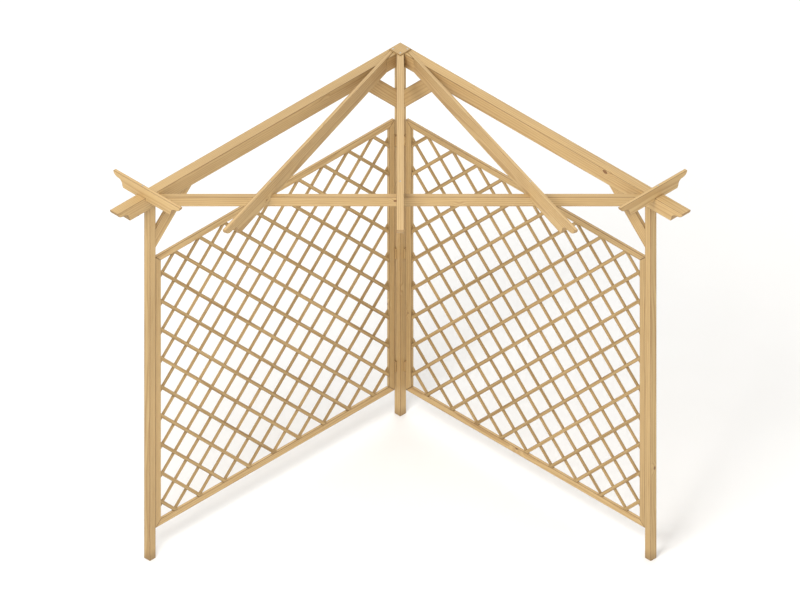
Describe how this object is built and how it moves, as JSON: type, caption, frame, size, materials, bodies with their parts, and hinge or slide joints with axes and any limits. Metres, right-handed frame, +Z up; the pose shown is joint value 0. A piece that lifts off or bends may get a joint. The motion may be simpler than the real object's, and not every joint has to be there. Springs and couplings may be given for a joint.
{
  "type": "corner pergola with trellis sides",
  "caption": "Softwood corner pergola: three posts, two side beams, a front beam, fanned rafters, knee braces and two framed diamond lattice panels.",
  "frame": {"origin": "middle of the corner post's foot, on the ground", "axes": "+Z up; the two sides run from the corner post to the front left and the front right, at 45 degrees to -Y; +X to the right when looking along +Y into the corner"},
  "size_m": [3.1438, 1.898, 2.5212],
  "materials": {
    "softwood": "planed pale softwood, matt, unpainted",
    "lath": "fine sawn softwood laths, matt, unpainted",
    "screw": "zinc plated, slightly dull"
  },
  "bodies": {
    "root": {"corner_post": "softwood", "left_post": "softwood", "right_post": "softwood", "left_side_beam": "softwood", "right_side_beam": "softwood", "front_beam": "softwood", "middle_rafter": "softwood", "left_rafter": "softwood", "right_rafter": "softwood", "left_cross_board": "softwood", "right_cross_board": "softwood", "corner_cap": "softwood", "left_corner_brace": "softwood", "left_front_brace": "softwood", "right_corner_brace": "softwood", "right_front_brace": "softwood", "left_top_rail": "softwood", "left_bottom_rail": "softwood", "left_corner_stile": "softwood", "left_front_stile": "softwood", "right_top_rail": "softwood", "right_bottom_rail": "softwood", "right_corner_stile": "softwood", "right_front_stile": "softwood", "left_lattice": "lath", "right_lattice": "lath", "left_corner_packer_low": "softwood", "left_corner_packer_middle": "softwood", "left_corner_packer_high": "softwood", "left_front_packer_low": "softwood", "left_front_packer_middle": "softwood", "left_front_packer_high": "softwood", "right_corner_packer_low": "softwood", "right_corner_packer_middle": "softwood", "right_corner_packer_high": "softwood", "right_front_packer_low": "softwood", "right_front_packer_middle": "softwood", "right_front_packer_high": "softwood", "left_cap_screw": "screw", "right_cap_screw": "screw", "middle_cap_screw": "screw", "left_cross_board_screw": "screw", "right_cross_board_screw": "screw", "left_post_screw": "screw", "right_post_screw": "screw", "left_rafter_screw": "screw", "middle_rafter_screw": "screw", "right_rafter_screw": "screw"}
  },
  "joints": []
}
